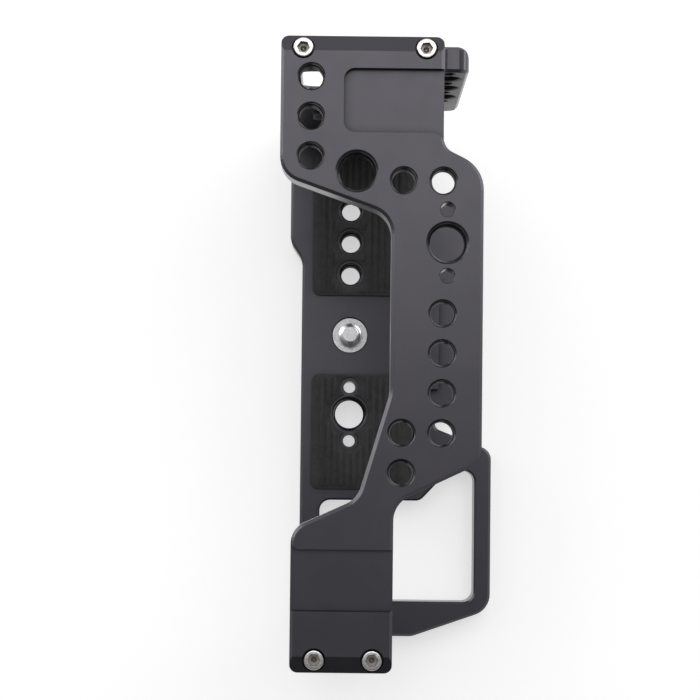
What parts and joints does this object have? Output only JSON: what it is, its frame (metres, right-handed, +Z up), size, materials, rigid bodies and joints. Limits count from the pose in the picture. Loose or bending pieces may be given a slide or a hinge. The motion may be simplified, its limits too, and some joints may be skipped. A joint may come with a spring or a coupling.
{
  "type": "camera cage",
  "caption": "Aluminium frame of bolted plates that encloses a camera body, with threaded accessory holes, locating pin holes and a captive camera screw.",
  "frame": {"origin": "centre of the cage's outer box, on the plane that it stands on", "axes": "+Z up, -Y towards the lens side, +X towards the left-hand side of the camera"},
  "size_m": [0.144, 0.0566, 0.114],
  "materials": {
    "plate": "dark grey anodised, fine bead blast",
    "steel": "bright stainless, turned",
    "dowel": "ground steel",
    "screw": "satin stainless",
    "rubber": "matte black rubber"
  },
  "bodies": {
    "cage": {"top_plate": "plate", "left_side_plate": "plate", "right_side_plate": "plate", "bottom_plate": "plate", "top_left_screws": "steel", "top_right_screws": "steel", "bottom_left_screws": "steel", "bottom_right_screws": "steel", "top_left_dowels": "dowel", "top_right_dowels": "dowel", "bottom_left_dowels": "dowel", "bottom_right_dowels": "dowel", "locating_lip": "plate", "locating_lip_screws": "steel", "bottom_pad_left": "rubber", "bottom_pad_right": "rubber", "left_inner_pad": "rubber", "right_inner_pad": "rubber", "top_pad_left": "rubber", "top_pad_right": "rubber"},
    "clip": {"camera_screw_clip": "dowel"},
    "screw": {"camera_screw": "screw"},
    "ring": {"camera_screw_ring": "screw"}
  },
  "joints": [
    {"name": "screw_lift", "type": "slide", "parent": "cage", "child": "clip", "axis": [0, 0, 1], "range_m": [0, 0.0015]},
    {"name": "screw_turn", "type": "hinge", "parent": "clip", "child": "screw", "pos_m": [0.01165, 0.0114, 0.005], "axis": [0, 0, 1], "continuous": true},
    {"name": "ring_fold", "type": "hinge", "parent": "screw", "child": "ring", "pos_m": [0.01165, 0.0094, 0.00145], "axis": [-1, 0, 0], "range_deg": [0, 90]}
  ]
}
